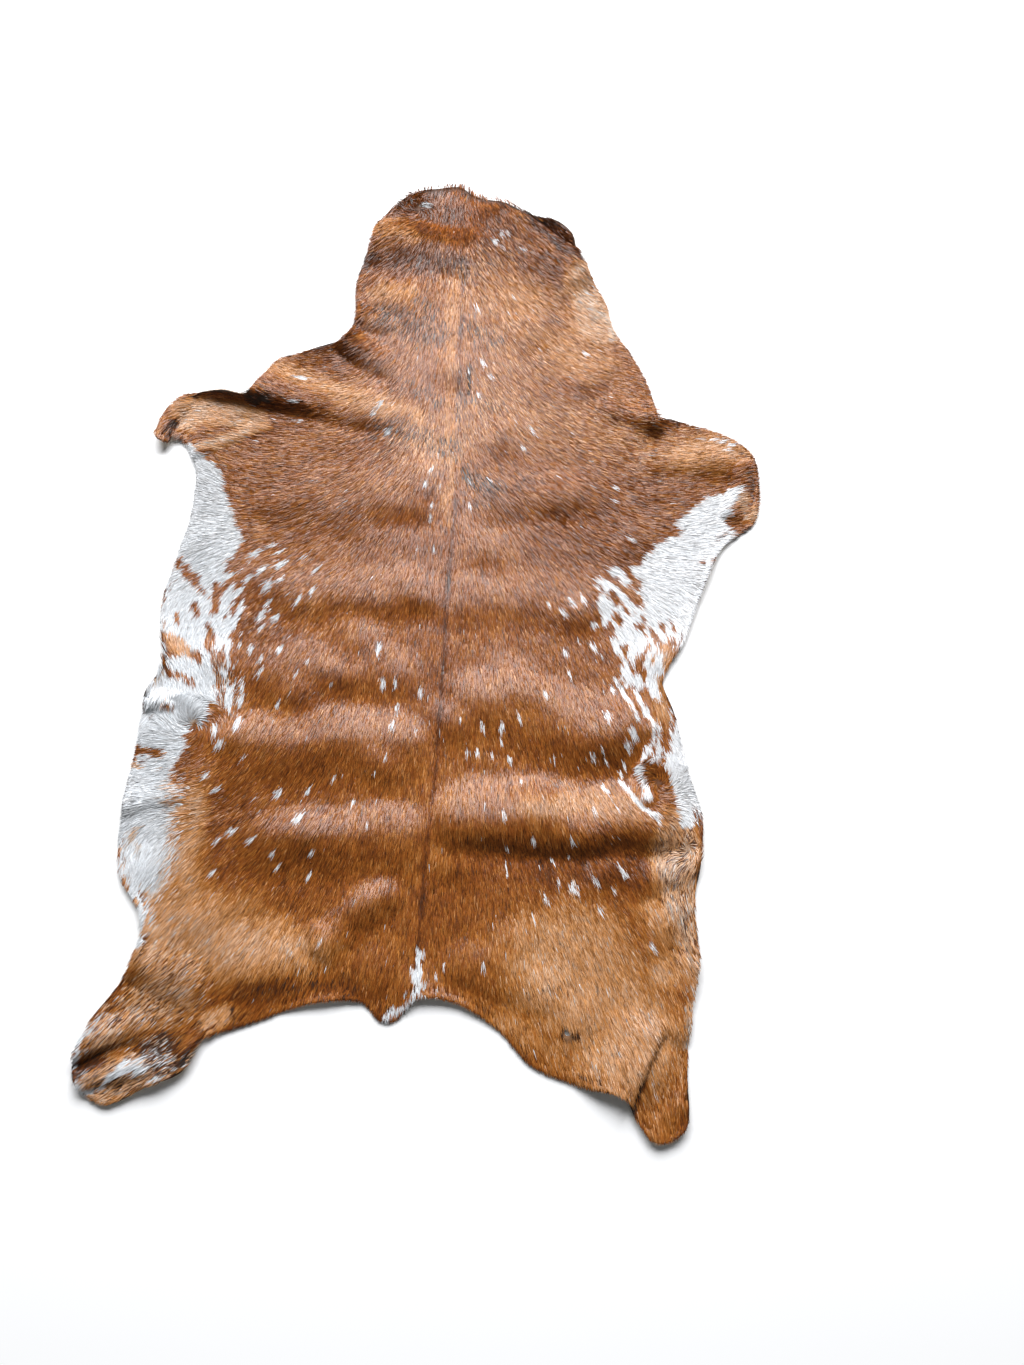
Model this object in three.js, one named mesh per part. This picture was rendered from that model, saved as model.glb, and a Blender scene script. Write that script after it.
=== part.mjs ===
// A tanned goatskin with its hair on, lying on a floor with the hair side up.
//
// The skin is one piece. It is set out flat as it was trimmed, neck towards +Y and legs to the
// sides, and then draped: every fold is a soft ridge that lifts the sheet and may lean it over.
// Millimetres, +Z up. The origin is on the floor under the back line, midway between the fore legs
// and the hind legs, where the skin lies flat.

import * as THREE from "three";
import { ConvexHull } from "three/addons/math/ConvexHull.js";
import { mergeVertices } from "three/addons/utils/BufferGeometryUtils.js";

const SHEET_THICKNESS = 3; // leather of 1.3 mm with its short coat pressed flat on it
const EDGE_STEP = 8.5; // between two points of the trimmed edge
const FLAT_STEP = 16.5; // between two points of the lattice where the skin lies flat
const FOLD_STEP = 11; // between two points along a fold's crest
const KEEP_OFF_EDGE = 9; // inner points stay this far from the edge
const KEEP_OFF_FOLD = 6.5; // rows of neighbouring folds stay this far apart
const KEEP_OFF_LATTICE = 10; // lattice points stay this far from all others
const CURL = { height: 4.5, reach: 24, waves: 17, lowest: 0.35 }; // how the dried edge curls up
const RIPPLE = { height: 2.6, wide: 150, long: 132, sway: 24 }; // slack between the folds
const NARROWEST = 0.5; // a fold narrows to this share of its width as it dies out
const WARBLE_HOLE = { x: 128, y: -367, radius: 3.2, sides: 8 }; // where a grub once left the right thigh
const COAT = { color: 0xa3683f, roughness: 0.6, metalness: 0 };

// The trimmed edge, clockwise from the poll as seen from above, a row for each bend of the cut.
const EDGE = {
  neck: [
    { x: -51, y: 533 }, { x: -35, y: 545 }, { x: -8, y: 550 }, { x: 18, y: 555 }, { x: 30, y: 546 },
    { x: 62, y: 527 }, { x: 101, y: 505 }, { x: 127, y: 496 }, { x: 143, y: 481 }, { x: 152, y: 456 },
    { x: 166, y: 437 }, { x: 182, y: 400 }, { x: 186, y: 374 },
  ],
  rightShoulder: [
    { x: 209, y: 335 }, { x: 225, y: 297 }, { x: 230, y: 274 }, { x: 233, y: 261 }, { x: 245, y: 263 },
  ],
  rightForeLeg: [
    { x: 268, y: 256 }, { x: 294, y: 248 }, { x: 317, y: 235 }, { x: 333, y: 217 }, { x: 337, y: 192 },
    { x: 331, y: 146 }, { x: 297, y: 118 },
  ],
  rightFlank: [
    { x: 273, y: 68 }, { x: 249, y: 9 }, { x: 234, y: -13 }, { x: 228, y: -28 }, { x: 239, y: -62 },
    { x: 249, y: -117 }, { x: 262, y: -168 }, { x: 258, y: -212 }, { x: 251, y: -248 },
  ],
  rightHindLeg: [
    { x: 253, y: -300 }, { x: 243, y: -348 }, { x: 238, y: -410 }, { x: 235, y: -452 },
    { x: 222, y: -466 }, { x: 205, y: -468 }, { x: 190, y: -448 }, { x: 180, y: -433 },
    { x: 134, y: -417 }, { x: 93, y: -396 },
  ],
  rumpAndTail: [
    { x: 65, y: -366 }, { x: 22, y: -342 }, { x: -15, y: -339 }, { x: -27, y: -352 }, { x: -40, y: -366 },
    { x: -54, y: -353 }, { x: -60, y: -341 }, { x: -114, y: -342 }, { x: -179, y: -362 },
  ],
  leftHindLeg: [
    { x: -214, y: -375 }, { x: -228, y: -402 }, { x: -258, y: -419 }, { x: -298, y: -434 },
    { x: -325, y: -414 }, { x: -331, y: -386 }, { x: -314, y: -352 }, { x: -290, y: -316 },
  ],
  leftFlank: [
    { x: -277, y: -278 }, { x: -281, y: -256 }, { x: -303, y: -219 }, { x: -305, y: -153 },
    { x: -296, y: -89 }, { x: -291, y: -36 }, { x: -278, y: -12 }, { x: -284, y: 46 },
    { x: -270, y: 112 }, { x: -262, y: 148 }, { x: -260, y: 206 },
  ],
  leftForeLeg: [
    { x: -272, y: 233 }, { x: -286, y: 249 }, { x: -291, y: 234 }, { x: -303, y: 237 },
    { x: -300, y: 266 }, { x: -280, y: 291 }, { x: -236, y: 297 },
  ],
  leftShoulder: [
    { x: -209, y: 293 }, { x: -199, y: 319 }, { x: -183, y: 334 }, { x: -146, y: 346 }, { x: -101, y: 362 },
    { x: -93, y: 386 }, { x: -94, y: 425 }, { x: -82, y: 480 }, { x: -73, y: 513 },
  ],
};

// The folds. "crest" is where a fold's crest starts, x and y, and where it ends. Facing along it,
// the front slope is on the left and the back slope on the right: "wide" holds their widths. "high"
// is the crest's height at its two ends, "fade" how far it runs on past each end as it dies out,
// "lean" how far its highest part hangs over to the back, and "bow" how far its middle is bowed to
// the front.
const FOLDS = {
  rightLoin: { crest: [24, -172, 206, -170], high: [11, 15], wide: [44, 42], fade: [44, 46], lean: 4, bow: 3 },
  leftLoin: { crest: [-142, -176, -38, -174], high: [9, 7], wide: [30, 40], fade: [50, 38], lean: 2, bow: 2 },
  leftWaist: { crest: [-193, -88, -35, -90], high: [11, 8], wide: [30, 34], fade: [44, 36], lean: 3, bow: 2 },
  leftBack: { crest: [-152, -40, -52, -38], high: [6, 5], wide: [24, 16], fade: [44, 34], lean: 2 },
  rightWaist: { crest: [62, -50, 178, -43], high: [8, 11], wide: [30, 50], fade: [46, 44], lean: 1, bow: 6 },
  leftRibs: { crest: [-169, 160, -24, 167], high: [8, 7], wide: [42, 32], fade: [52, 40], lean: 2, bow: 4 },
  rightRibs: { crest: [84, 169, 169, 180], high: [4, 5], wide: [36, 28], fade: [52, 52], lean: 1 },
  leftShoulder: { crest: [-196, 297, -4, 250], high: [20, 6], wide: [34, 22], fade: [0, 60], lean: 7, bow: 4 },
  leftNeck: { crest: [-100, 360, -60, 332], high: [14, 5], wide: [20, 17], fade: [0, 24], lean: 5 },
  leftCheek: { crest: [-92, 392, -58, 388], high: [6, 4], wide: [18, 16], fade: [0, 24], lean: 1 },
  neckBand: { crest: [-82, 480, 29, 470], high: [10, 7], wide: [34, 32], fade: [0, 36], lean: 3, bow: 5 },
  neckTurn: { crest: [157, 447, 64, 524], high: [14, 11], wide: [64, 17], fade: [10, 8], lean: 4, bow: -7 },
  neckRim: { crest: [92, 516, 152, 460], high: [12, 13], wide: [16, 15], fade: [20, 8], lean: 1, bow: 14 },
  rightShoulder: { crest: [178, 277, 229, 262], high: [5, 11], wide: [17, 14], fade: [26, 0], lean: 4 },
  rightForeLeg: { crest: [232, 218, 310, 207], high: [4, 6], wide: [17, 16], fade: [30, 20], lean: 1, bow: 4 },
  rightForeToe: { crest: [322, 205, 300, 150], high: [6, 5], wide: [15, 14], fade: [10, 10], lean: 2, bow: 3 },
  leftForeLeg: { crest: [-254, 224, -182, 252], high: [5, 4], wide: [12, 9], fade: [0, 26], lean: 1 },
  leftForeToe: { crest: [-299, 240, -276, 284], high: [9, 5], wide: [13, 13], fade: [0, 18], lean: 2, bow: 4 },
  rightThigh: { crest: [180, -434, 224, -372], high: [19, 11], wide: [52, 17], fade: [8, 14], lean: 8, bow: 3 },
  rightStifle: { crest: [236, -362, 248, -306], high: [9, 7], wide: [24, 14], fade: [14, 16], lean: 2 },
  rightHock: { crest: [230, -427, 206, -457], high: [5, 5], wide: [14, 16], fade: [14, 8], lean: 1 },
  leftHock: { crest: [-323, -378, -274, -361], high: [12, 5], wide: [22, 15], fade: [0, 28], lean: 5, bow: 2 },
  leftToe: { crest: [-320, -410, -264, -396], high: [6, 4], wide: [15, 13], fade: [0, 24], lean: 1 },
  leftThigh: { crest: [-288, -297, -238, -316], high: [5, 6], wide: [26, 24], fade: [10, 40], lean: 1 },
  leftGirth: { crest: [-306, -155, -260, -145], high: [6, 4], wide: [18, 14], fade: [0, 20], lean: 1 },
  leftWhorl: { crest: [-286, -45, -243, -64], high: [6, 4], wide: [15, 14], fade: [0, 18], lean: 2, bow: 5 },
  leftRump: { crest: [-90, -278, -36, -244], high: [6, 5], wide: [26, 24], fade: [24, 22], lean: 1 },
  leftSeat: { crest: [-176, -304, -62, -313], high: [7, 5], wide: [32, 22], fade: [30, 14], lean: 1, bow: 5 },
  rightSeat: { crest: [22, -306, 107, -338], high: [5, 7], wide: [32, 24], fade: [26, 26], lean: 1, bow: 3 },
  rightBelly: { crest: [206, -146, 212, -72], high: [6, 5], wide: [13, 12], fade: [12, 14], lean: 1, bow: -5 },
  rightGroin: { crest: [201, -225, 250, -214], high: [6, 8], wide: [20, 22], fade: [24, 0], lean: 1 },
};

// Both cut lines run with the skin on their right hand: the edge clockwise, the hole anticlockwise.
const edge = edgeLine();
const holeRim = Array.from({ length: WARBLE_HOLE.sides }, (_, side) => {
  const turn = (2 * Math.PI * side) / WARBLE_HOLE.sides;
  const { x, y, radius } = WARBLE_HOLE;
  return new THREE.Vector2(x + radius * Math.cos(turn), y + radius * Math.sin(turn));
});

// The closed line of the trimmed edge, as points an even step apart.
function edgeLine() {
  const bends = Object.values(EDGE).flat();
  const corners = bends.map(({ x, y }) => new THREE.Vector3(x, y, 0));
  const curve = new THREE.CatmullRomCurve3(corners, true, "centripetal");
  curve.arcLengthDivisions = bends.length * 20;
  const steps = Math.round(curve.getLength() / EDGE_STEP);
  return curve.getSpacedPoints(steps).slice(0, steps).map(({ x, y }) => new THREE.Vector2(x, y));
}

// Whether a point lies inside a closed line: a ray from it towards +X meets an odd number of sides.
function inside(point, line) {
  let odd = false;
  line.forEach((a, i) => {
    const b = line[(i + 1) % line.length];
    const spans = a.y > point.y !== b.y > point.y;
    if (spans && point.x < a.x + ((point.y - a.y) / (b.y - a.y)) * (b.x - a.x)) odd = !odd;
  });
  return odd;
}

// The nearest place on the trimmed edge: how far off it is, and its place round the edge from 0 to 1.
function nearestEdge(point) {
  let nearest = { distance: Infinity, round: 0 };
  edge.forEach((a, i) => {
    const side = edge[(i + 1) % edge.length].clone().sub(a);
    const share = THREE.MathUtils.clamp(point.clone().sub(a).dot(side) / side.lengthSq(), 0, 1);
    const distance = point.distanceTo(a.clone().addScaledVector(side, share));
    if (distance < nearest.distance) nearest = { distance, round: (i + share) / edge.length };
  });
  return nearest;
}

// Where a fold's crest starts, its two directions, along the crest and to the back, and its length.
function foldAxes(fold) {
  const [x, y, endX, endY] = fold.crest;
  const way = new THREE.Vector2(endX - x, endY - y);
  const length = way.length();
  way.normalize();
  return { start: new THREE.Vector2(x, y), way, length, back: new THREE.Vector2(way.y, -way.x) };
}

// How far the crest is bowed to the front, at a share of its length.
function bowAt({ bow = 0 }, share) {
  return bow * 4 * share * (1 - share);
}

// How high one fold lifts a point of the flat skin: a cosine hump across it, which narrows and dies
// out past the crest's ends.
function foldLift(fold, { start, way, length, back }, x, y) {
  const offset = new THREE.Vector2(x, y).sub(start);
  const along = offset.dot(way);
  const share = THREE.MathUtils.clamp(along / length, 0, 1);
  const behind = offset.dot(back) + bowAt(fold, share);
  const [fadeIn, fadeOut] = fold.fade;
  const rise = fadeIn ? THREE.MathUtils.smoothstep(along, -fadeIn, 0) : 1;
  const fall = fadeOut ? THREE.MathUtils.smoothstep(length + fadeOut - along, 0, fadeOut) : 1;
  const reach = fold.wide[behind < 0 ? 0 : 1] * THREE.MathUtils.lerp(NARROWEST, 1, rise * fall);
  if (Math.abs(behind) >= reach) return 0;
  const high = THREE.MathUtils.lerp(fold.high[0], fold.high[1], share);
  return high * rise * fall * Math.cos((Math.PI * behind) / (2 * reach)) ** 2;
}

// The curl of the dried edge, which comes and goes round the skin.
function edgeLift(x, y) {
  const { distance, round } = nearestEdge(new THREE.Vector2(x, y));
  if (distance >= CURL.reach) return 0;
  const turn = 2 * Math.PI * CURL.waves * round;
  const wave = CURL.lowest + (1 - CURL.lowest) * Math.sin(turn + 1.7 * Math.sin(turn / 3));
  return CURL.height * Math.max(0, wave) * (1 - distance / CURL.reach) ** 2;
}

// The slack left all over the skin: low swellings in a swaying chequer, flat on the floor between them.
function rippleLift(x, y) {
  const across = (2 * Math.PI * (x + RIPPLE.sway * Math.sin(y / 90))) / RIPPLE.wide;
  const along = (2 * Math.PI * (y + RIPPLE.sway * Math.sin(x / 70))) / RIPPLE.long;
  return RIPPLE.height * Math.max(0, -Math.cos(across) * Math.cos(along)) ** 2;
}

// The underside of the draped skin, over a point of the flat skin.
function draped(x, y) {
  const place = new THREE.Vector3(x, y, edgeLift(x, y) + rippleLift(x, y));
  for (const fold of Object.values(FOLDS)) {
    const axes = foldAxes(fold);
    const lift = foldLift(fold, axes, x, y);
    const hang = (fold.lean * lift) / Math.max(...fold.high);
    place.add(new THREE.Vector3(axes.back.x * hang, axes.back.y * hang, lift));
  }
  return place;
}

// The way that the draped skin faces there, from its slopes over a short step each way.
function facing(x, y) {
  const step = 1.5;
  const across = draped(x + step, y).sub(draped(x - step, y));
  const along = draped(x, y + step).sub(draped(x, y - step));
  return across.cross(along).normalize();
}

// Points of the flat skin: its edge, the hole's rim, rows along each crest and its slopes, and a
// lattice of even triangles in the room that is left.
function flatPoints() {
  const points = [...edge, ...holeRim];
  const addWithRoom = (point, room) => {
    if (!inside(point, edge) || nearestEdge(point).distance < KEEP_OFF_EDGE) return;
    if (points.every((other) => other.distanceTo(point) >= room)) points.push(point);
  };
  for (const fold of Object.values(FOLDS)) {
    const { start, way, length, back } = foldAxes(fold);
    const [front, rear] = fold.wide;
    for (const row of [0, rear, rear / 2, -front / 2]) {
      for (let along = 0; along <= length; along += FOLD_STEP) {
        const behind = row - bowAt(fold, along / length);
        const point = start.clone().addScaledVector(way, along).addScaledVector(back, behind);
        addWithRoom(point, KEEP_OFF_FOLD);
      }
    }
  }
  const { min, max } = new THREE.Box2().setFromPoints(edge);
  const rowStep = FLAT_STEP * Math.sin(Math.PI / 3);
  for (let row = 0; min.y + row * rowStep < max.y; row++) {
    for (let x = min.x + (row % 2) * (FLAT_STEP / 2); x < max.x; x += FLAT_STEP) {
      addWithRoom(new THREE.Vector2(x, min.y + row * rowStep), KEEP_OFF_LATTICE);
    }
  }
  return points;
}

// Delaunay triangles of flat points, each as three indices turned anticlockwise: lifted on to a
// paraboloid, the points have these triangles as the underside of their convex hull.
function triangles(points) {
  const steepness = 0.01;
  const raised = points.map((point) => new THREE.Vector3(point.x, point.y, steepness * point.lengthSq()));
  const index = new Map(raised.map((vertex, i) => [vertex, i]));
  const found = [];
  for (const face of new ConvexHull().setFromPoints(raised).faces) {
    if (face.normal.z >= 0) continue;
    const corners = [0, 1, 2].map((k) => index.get(face.getEdge(k).head().point));
    const middle = corners.reduce((sum, i) => sum.add(points[i]), new THREE.Vector2()).divideScalar(3);
    if (inside(middle, edge) && !inside(middle, holeRim)) found.push(corners.reverse());
  }
  return found;
}

// The draped skin as a closed solid: an upper side, an underside, and a wall along each cut line.
function skinGeometry() {
  const points = flatPoints();
  const under = points.map(({ x, y }) => draped(x, y));
  const upper = points.map(({ x, y }, i) => under[i].clone().addScaledVector(facing(x, y), SHEET_THICKNESS));
  const corners = [];
  for (const [a, b, c] of triangles(points)) {
    corners.push(upper[a], upper[b], upper[c], under[c], under[b], under[a]);
  }
  const addWall = (line) => {
    const first = points.indexOf(line[0]);
    line.forEach((_, i) => {
      const a = first + i;
      const b = first + ((i + 1) % line.length);
      corners.push(under[b], under[a], upper[a], under[b], upper[a], upper[b]);
    });
  };
  addWall(edge);
  addWall(holeRim);
  return mergeVertices(new THREE.BufferGeometry().setFromPoints(corners));
}

function goatskin() {
  const mesh = new THREE.Mesh(skinGeometry(), new THREE.MeshStandardMaterial(COAT));
  mesh.name = "goatskin";
  return mesh;
}

const group = new THREE.Group();
group.add(goatskin());

export default group;
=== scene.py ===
"""A tanned goatskin with its hair on, laid on a pale floor with the hair side up.

The tanner's order is kept: the trimmed skin is cut and draped, its coat is coloured and combed, and
every lock of hair is then set along the comb. Tables are in millimetres and meshes in metres.
"""

import math

import bpy
import numpy as np
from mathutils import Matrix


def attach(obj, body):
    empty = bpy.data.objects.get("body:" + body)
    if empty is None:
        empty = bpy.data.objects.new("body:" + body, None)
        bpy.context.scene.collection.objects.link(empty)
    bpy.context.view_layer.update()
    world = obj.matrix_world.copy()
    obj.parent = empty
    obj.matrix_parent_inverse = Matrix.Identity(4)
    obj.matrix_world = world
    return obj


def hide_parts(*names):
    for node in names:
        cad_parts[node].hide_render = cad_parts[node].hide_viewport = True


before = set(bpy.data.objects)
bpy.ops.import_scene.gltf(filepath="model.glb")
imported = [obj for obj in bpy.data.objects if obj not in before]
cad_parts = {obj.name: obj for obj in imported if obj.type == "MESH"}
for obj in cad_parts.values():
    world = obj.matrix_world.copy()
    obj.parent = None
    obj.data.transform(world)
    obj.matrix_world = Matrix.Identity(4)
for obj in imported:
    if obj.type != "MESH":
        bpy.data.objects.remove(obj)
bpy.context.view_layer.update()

MM = 0.001

# The skin. Leather and coat together fill the 3 mm of the solid.
LEATHER = 1.6  # thickness of the tanned leather
GRID = 3.6  # spacing of the skin's own mesh
CURL = {"height": 4.5, "reach": 24, "waves": 17, "lowest": 0.35}  # how the dried edge curls up
RIPPLE = {"height": 2.6, "wide": 150, "long": 132, "sway": 24}  # slack between the folds
NARROWEST = 0.75  # a fold narrows to this share of its width as it dies out
WAVER = {"inland": 40, "sideways": 6, "high": 0.22}  # how the folds waver, this far in from the cut
HOLE = {"x": 128, "y": -367, "radius": 3.8}  # where a grub once left the right thigh
# The leather's texture chart: its size along, the corners of its two sides, and its wall's two limits.
SHEET_CHART = {"long": 0.72, "hair": (0.01, 0.01), "flesh": (0.5, 0.01), "wall": (0.9, 0.96)}

# The coat. A goat's guard hair is 0.1 mm thick, too fine to show, so each blade is a small lock.
HAIRS = 424_000
HAIR_LENGTH = 12.5
SHORTEST = 3.5  # what the trim at the cut leaves of a lock at least
HAIR_WIDTH = 0.8
COAT_DEPTH = 1.8  # how far the tips stand off the leather
BEND = {"along": 0.45, "high": 0.72, "tip": 0.95}  # where a lock bends, and its tip's share of its depth
SPREAD = {"turn": 4.5, "length": 0.16, "roll": 0.28}  # how locks differ: degrees, share, radians
SHAKE = 0.6  # how far roots are shaken off their lattice, as a share of its step
ROOT_INSET = 1.2  # how far inside the cut the outermost roots are
ROOT_LIFT = 0.05  # how far roots stand off the leather
OFF_FLOOR = 0.4  # the nearest that a lock comes to the floor
OVERHANG = (-1.5, 3)  # how far hair may reach past the cut edge
DROOP = {"share": 0.25, "most": 1.6}  # how far it hangs there
POLL_TUFT = {"past": 515, "reach": 6}  # past that y, how much further ragged locks may reach
FRINGE = {"reach": 5, "above": 0.6}  # this near the cut, locks that draw more lie the other way
SHAG = {"start": 330, "over": 150, "deeper": 0.7, "rolled": 0.6}  # the neck's shaggier coat, from that y
EDGE_SHADE = {"reach": 4, "darker": 0.24, "duller": 0.2}  # painted shade: hair this near the cut is darker and duller
# How much duller white hair is at the left elbow, past that y, as painted shade, and in the roan patch.
DIM_WHITE = {"start": 20, "over": 160, "elbow": 0.16, "roan": 0.13}
SEED = 20

# The trimmed edge, clockwise from the poll as seen from above, a row (x, y) for each bend of the cut.
EDGE = {
    "neck": [
        (-52, 535), (-35, 547), (-8, 553), (18, 557), (28, 549), (62, 533), (100, 515),
        (128, 505), (145, 487), (151, 458), (163, 437), (181, 400), (186, 374),
    ],
    "right shoulder": [(209, 335), (225, 297), (230, 274), (233, 261), (245, 263)],
    "right fore leg": [
        (268, 256), (294, 248), (317, 235), (333, 217), (337, 192), (331, 146), (297, 118),
    ],
    "right flank": [
        (273, 68), (249, 9), (234, -13), (228, -28), (239, -62), (249, -117), (262, -168),
        (258, -212), (251, -248),
    ],
    "right hind leg": [
        (252, -300), (242, -348), (238, -410), (236, -450), (222, -462), (205, -463),
        (190, -444), (177, -424), (134, -413), (93, -396),
    ],
    "rump and tail": [
        (65, -366), (22, -341), (-15, -338), (-25, -349), (-36, -358), (-48, -357),
        (-57, -346), (-64, -340), (-114, -342), (-179, -362),
    ],
    "left hind leg": [
        (-214, -375), (-228, -402), (-259, -415), (-298, -431), (-325, -414), (-331, -386),
        (-314, -352), (-290, -316),
    ],
    "left flank": [
        (-277, -278), (-281, -256), (-303, -219), (-305, -153), (-296, -89), (-291, -36),
        (-278, -12), (-284, 46), (-270, 112), (-262, 148), (-260, 206),
    ],
    "left fore leg": [
        (-272, 233), (-286, 249), (-291, 234), (-303, 237), (-300, 266), (-280, 291), (-236, 297),
    ],
    "left shoulder": [
        (-207, 293), (-195, 313), (-182, 334), (-146, 346), (-104, 362), (-96, 386),
        (-97, 425), (-82, 480), (-73, 513),
    ],
}

# The folds, with the same columns as the solid's: where the crest starts and ends, its height at both
# ends, the widths of its front and back slope, how far it runs on at both ends, its lean and its bow.
FOLD_COLUMNS = ("crest", "high", "wide", "fade", "lean", "bow")
FOLDS = {
    "right loin": ((24, -168, 206, -172), (9, 13), (48, 37), (40, 46), 4, 3),
    "left loin": ((-146, -180, -34, -178), (6.2, 5.6), (34, 56), (54, 40), 2, 2),
    "left waist": ((-186, -87, -35, -86), (6.5, 5.4), (34, 54), (46, 40), 3, 2),
    "left back": ((-156, -16, -44, -16), (3.5, 3), (40, 42), (56, 44), 1, 4),
    "right waist": ((48, -40, 184, -68), (7, 9), (40, 62), (44, 40), 1, -6),
    "left ribs": ((-169, 172, -24, 178), (3.8, 4), (44, 36), (52, 40), 2, 4),
    "right ribs": ((34, 58, 150, 60), (2.8, 2.6), (42, 38), (34, 52), 1, 0),
    "left middle": ((-140, 62, -24, 66), (3, 4), (42, 34), (52, 30), 1, 0),
    "right back": ((70, 172, 150, 178), (2.5, 3), (38, 34), (44, 52), 1, 0),
    "left shoulder": ((-196, 297, -96, 274), (16, 4.5), (34, 24), (0, 70), 6, 4),
    "left neck": ((-100, 360, -72, 340), (9, 3), (22, 20), (0, 34), 4, 0),
    "left cheek": ((-94, 392, -70, 388), (4, 2.5), (18, 18), (0, 30), 1, 0),
    "neck band": ((-82, 488, 8, 480), (10, 6), (30, 44), (0, 56), 3, 5),
    "neck turn": ((156, 456, 66, 528), (8, 5), (80, 13), (26, 30), 3, 4),
    "neck rim": ((98, 520, 150, 478), (6, 8), (13, 9), (16, 10), 1, 6),
    "right shoulder": ((186, 276, 229, 262), (4, 8), (20, 20), (30, 6), 3, 0),
    "right fore leg": ((232, 218, 310, 207), (2.5, 3.5), (20, 20), (30, 20), 1, 4),
    "right fore toe": ((322, 205, 304, 152), (4, 4), (15, 16), (12, 14), 1, 3),
    "left fore leg": ((-254, 224, -182, 252), (2, 1.6), (14, 8), (0, 34), 1, 0),
    "left fore toe": ((-299, 240, -276, 284), (9, 5), (13, 13), (0, 18), 2, 4),
    "right thigh": ((172, -428, 205, -374), (11, 6), (58, 12), (8, 30), 5, 0),
    "right stifle": ((236, -362, 248, -306), (4, 3), (28, 14), (20, 20), 2, 0),
    "right hock": ((230, -427, 206, -455), (2, 2), (16, 16), (14, 8), 0, 0),
    "left hock": ((-323, -378, -274, -361), (10, 4), (22, 15), (0, 28), 5, 2),
    "left toe": ((-320, -410, -264, -396), (6, 4), (15, 13), (0, 24), 1, 0),
    "left thigh": ((-288, -297, -238, -316), (4, 3), (26, 26), (10, 44), 1, 0),
    "left girth": ((-306, -155, -260, -145), (4, 2.5), (18, 14), (0, 24), 1, 0),
    "left whorl": ((-286, -45, -243, -64), (4.5, 3), (15, 15), (0, 18), 2, 5),
    "left rump": ((-104, -282, -46, -236), (5, 4), (24, 24), (24, 22), 1, 0),
    "left seat": ((-176, -302, -70, -306), (3.5, 2.5), (44, 38), (50, 50), 1, 5),
    "right seat": ((30, -306, 100, -332), (3, 4), (32, 28), (36, 40), 1, 3),
    "right belly": ((206, -146, 212, -72), (4, 3), (14, 13), (12, 14), 1, -5),
    "right groin": ((201, -225, 250, -214), (2, 4), (22, 24), (26, 0), 1, 0),
}

# The comb: how far the hair leans from straight back, in degrees and to the right, at stations
# across the skin (the columns) and along it (the rows, from the poll to the hocks).
COMB_ACROSS = (-300, -240, -180, -120, -60, 0, 60, 120, 180, 240, 300)
COMB = {
    540: (-50, -50, -50, -50, -35, -10, 25, 45, 50, 50, 50),
    480: (-60, -60, -60, -55, -45, -8, 35, 50, 52, 52, 52),
    420: (-60, -60, -55, -45, -28, -4, 32, 50, 58, 60, 60),
    370: (-80, -80, -75, -60, -28, -3, 26, 45, 62, 70, 70),
    320: (-115, -115, -112, -85, -40, -3, 28, 48, 65, 75, 80),
    280: (-60, -100, -105, -80, -42, -4, 32, 52, 66, 80, 92),
    240: (-20, -100, -98, -78, -44, -4, 36, 56, 68, 84, 96),
    200: (-112, -112, -92, -72, -40, -4, 36, 56, 66, 88, 100),
    150: (-95, -90, -76, -58, -33, -3, 28, 46, 60, 92, 104),
    100: (-60, -62, -58, -42, -22, -2, 20, 36, 54, 78, 85),
    50: (-15, -22, -42, -30, -15, -2, 13, 26, 38, 50, 40),
    0: (35, 20, -22, -20, -10, -1, 8, 16, 24, -20, -30),
    -50: (-20, -10, -22, -18, -9, 0, 7, 14, 22, 10, 10),
    -100: (-80, -60, -32, -20, -8, 0, 6, 13, 25, 30, 30),
    -150: (-80, -80, -42, -22, -8, 0, 6, 14, 34, 50, 40),
    -200: (-10, -35, -44, -22, -8, 0, 6, 15, 34, -20, -50),
    -250: (-20, -38, -36, -20, -10, -1, 7, 17, 30, 10, -10),
    -300: (-40, -42, -32, -18, -8, -2, 8, 17, 26, 24, 20),
    -350: (-46, -50, -34, -18, -8, 0, 10, 17, 20, 14, 10),
    -400: (-50, -58, -45, -20, -8, 0, 12, 16, 16, 6, 4),
    -450: (-55, -60, -45, -20, -8, 0, 12, 14, 12, 2, 0),
}

# Whorls in the flank: centre, how far they reach, and which way they turn (1 anticlockwise).
WHORL_COLUMNS = ("x", "y", "reach", "turn")
WHORLS = {
    "left flank": (-242, -70, 30, -1),
    "right flank": (219, -132, 26, 1),
    "right groin": (247, -196, 13, -1),
    "poll": (-30, 528, 16, -1),
}

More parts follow.
